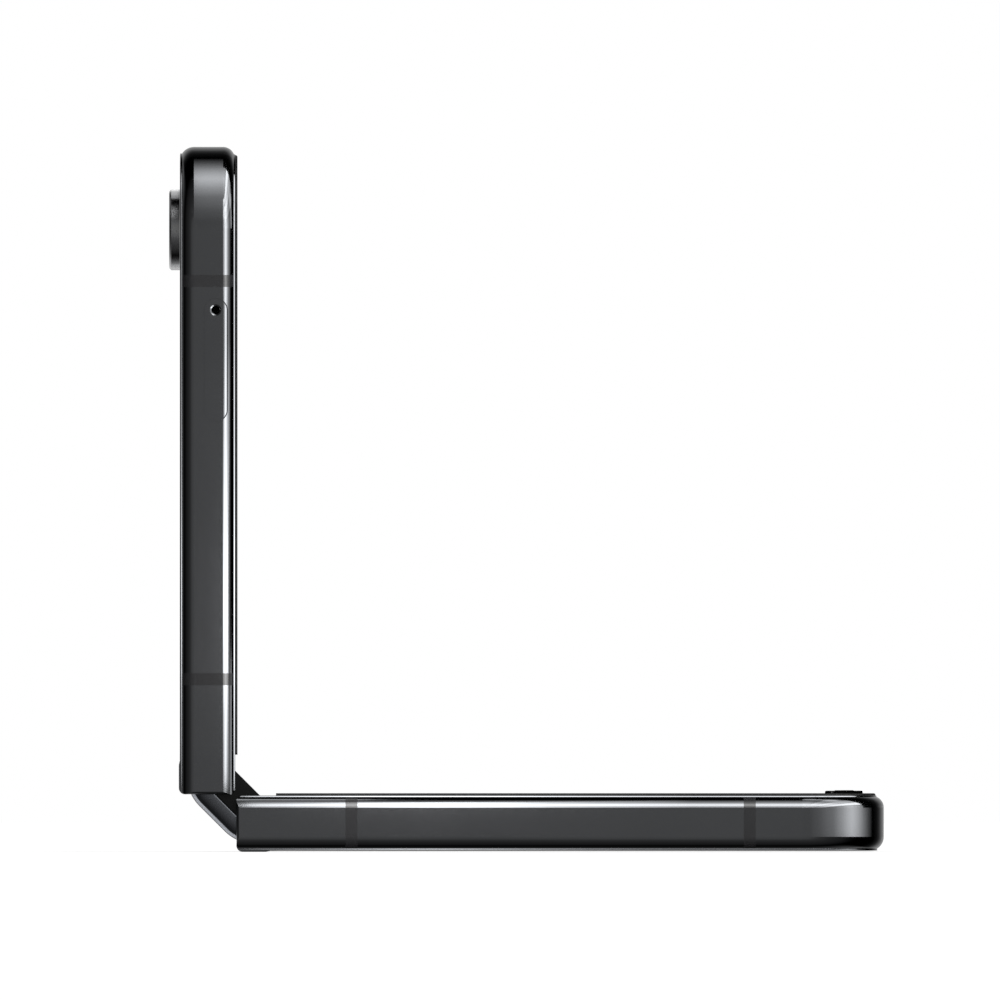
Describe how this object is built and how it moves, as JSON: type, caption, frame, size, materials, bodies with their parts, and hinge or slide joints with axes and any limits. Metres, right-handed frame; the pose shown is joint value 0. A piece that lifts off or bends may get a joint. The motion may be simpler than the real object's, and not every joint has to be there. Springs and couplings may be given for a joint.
{
  "type": "foldable smartphone",
  "caption": "Clamshell foldable phone with geared hinge spine, folding display, raised camera rings, card tray and side keys, half open at a right angle.",
  "frame": {"origin": "centre of the lower half's back glass, on its outer face", "axes": "+Z out of the lower half's display side, +X from the hinge towards the lower half's socket end, +Y towards the side with the keys"},
  "size_m": [0.0912, 0.0724, 0.0898],
  "materials": {
    "frame_aluminium": "satin graphite anodised",
    "antenna_resin": "satin",
    "back_glass": "polished, opaque graphite behind",
    "black_plastic": "satin",
    "bumper_rubber": "smooth",
    "display_film": "polished, display off",
    "steel_sheet": "plain",
    "cell_pouch": "wrapped cell",
    "board_laminate": "solder mask",
    "speaker_housing": "moulded",
    "copper_coil": "copper",
    "hinge_steel": "sintered steel",
    "screw_steel": "plated",
    "spine_aluminium": "satin graphite anodised",
    "ring_metal": "turned",
    "lens_glass": "coated",
    "flash_plastic": "clear yellow diffuser",
    "gold_contact": "gold plate",
    "cover_panel": "display off"
  },
  "bodies": {
    "lower_half": {"lower_frame": "frame_aluminium", "lower_antenna_bands": "antenna_resin", "lower_back_cover": "back_glass", "lower_bezel": "black_plastic", "lower_bumpers": "bumper_rubber", "lower_display": "display_film", "lower_support_plate": "steel_sheet", "lower_battery": "cell_pouch", "sub_board": "board_laminate", "usb_c_shell": "steel_sheet", "usb_c_tongue": "black_plastic", "usb_c_contacts": "gold_contact", "loudspeaker": "speaker_housing", "vibration_motor": "steel_sheet", "charging_coil": "copper_coil", "lower_hinge_racks": "hinge_steel", "lower_hinge_screws": "screw_steel", "lower_microphone": "gold_contact"},
    "hinge_spine": {"spine_cover": "spine_aluminium", "hinge_end_caps": "black_plastic", "hinge_bases": "hinge_steel", "hinge_base_screws": "screw_steel", "disc_springs": "hinge_steel", "spring_end_plates": "hinge_steel", "detent_blocks": "hinge_steel", "fold_display": "display_film", "hinge_flex": "copper_coil"},
    "lower_pinion": {"lower_pinions": "hinge_steel"},
    "lower_idler": {"lower_idlers": "hinge_steel"},
    "upper_idler": {"upper_idlers": "hinge_steel"},
    "upper_pinion": {"upper_pinions": "hinge_steel"},
    "upper_half": {"upper_frame": "frame_aluminium", "upper_antenna_bands": "antenna_resin", "cover_glass": "back_glass", "cover_display": "cover_panel", "camera_rings": "ring_metal", "camera_glasses": "lens_glass", "camera_lenses": "lens_glass", "camera_modules": "speaker_housing", "flash_lens": "flash_plastic", "upper_bezel": "black_plastic", "upper_display": "display_film", "upper_support_plate": "steel_sheet", "front_camera": "speaker_housing", "earpiece": "speaker_housing", "upper_microphone": "gold_contact", "main_board": "board_laminate", "shield_cans": "steel_sheet", "upper_battery": "cell_pouch", "upper_hinge_racks": "hinge_steel", "upper_hinge_screws": "screw_steel", "card_slot_cage": "steel_sheet", "key_switches": "steel_sheet"},
    "card_tray": {"card_tray": "frame_aluminium", "nano_card": "gold_contact"},
    "power_key": {"power_key": "frame_aluminium"},
    "volume_key": {"volume_key": "frame_aluminium"}
  },
  "joints": [
    {"name": "hinge_lower", "type": "hinge", "parent": "lower_half", "child": "hinge_spine", "pos_m": [-0.039, 0, 0.0062], "axis": [0, 1, 0], "range_deg": [-45, 45.7], "deforming": ["fold_display", "hinge_flex"]},
    {"name": "hinge_upper", "type": "hinge", "parent": "hinge_spine", "child": "upper_half", "pos_m": [-0.04225, 0, 0.00945], "axis": [0, 1, 0], "range_deg": [-45, 45.7]},
    {"name": "lower_pinion_turn", "type": "hinge", "parent": "hinge_spine", "child": "lower_pinion", "pos_m": [-0.03985, 0, 0.00378], "axis": [0, 1, 0], "range_deg": [-168, 168]},
    {"name": "lower_idler_turn", "type": "hinge", "parent": "hinge_spine", "child": "lower_idler", "pos_m": [-0.04185, 0, 0.00479], "axis": [0, 1, 0], "range_deg": [-126, 126]},
    {"name": "upper_idler_turn", "type": "hinge", "parent": "hinge_spine", "child": "upper_idler", "pos_m": [-0.04366, 0, 0.0066], "axis": [0, 1, 0], "range_deg": [-126, 126]},
    {"name": "upper_pinion_turn", "type": "hinge", "parent": "hinge_spine", "child": "upper_pinion", "pos_m": [-0.04467, 0, 0.0086], "axis": [0, 1, 0], "range_deg": [-168, 168]},
    {"name": "card_tray_slide", "type": "slide", "parent": "upper_half", "child": "card_tray", "axis": [0, -1, 0], "range_m": [0, 0.0155]},
    {"name": "power_key_press", "type": "slide", "parent": "upper_half", "child": "power_key", "axis": [0, -1, 0], "range_m": [0, 0.00025], "stiffness_N_per_m": 3000},
    {"name": "volume_key_rock", "type": "hinge", "parent": "upper_half", "child": "volume_key", "pos_m": [-0.04388, 0.03465, 0.06024], "axis": [1, 0, 0], "range_deg": [-1, 1], "stiffness_Nm_per_rad": 0.4}
  ],
  "couplings": [
    {"joint": "hinge_upper", "follows": "hinge_lower", "ratio": 1},
    {"joint": "lower_pinion_turn", "follows": "hinge_lower", "ratio": -3.6667},
    {"joint": "lower_idler_turn", "follows": "hinge_lower", "ratio": 2.75},
    {"joint": "upper_idler_turn", "follows": "hinge_lower", "ratio": -2.75},
    {"joint": "upper_pinion_turn", "follows": "hinge_lower", "ratio": 3.6667}
  ]
}
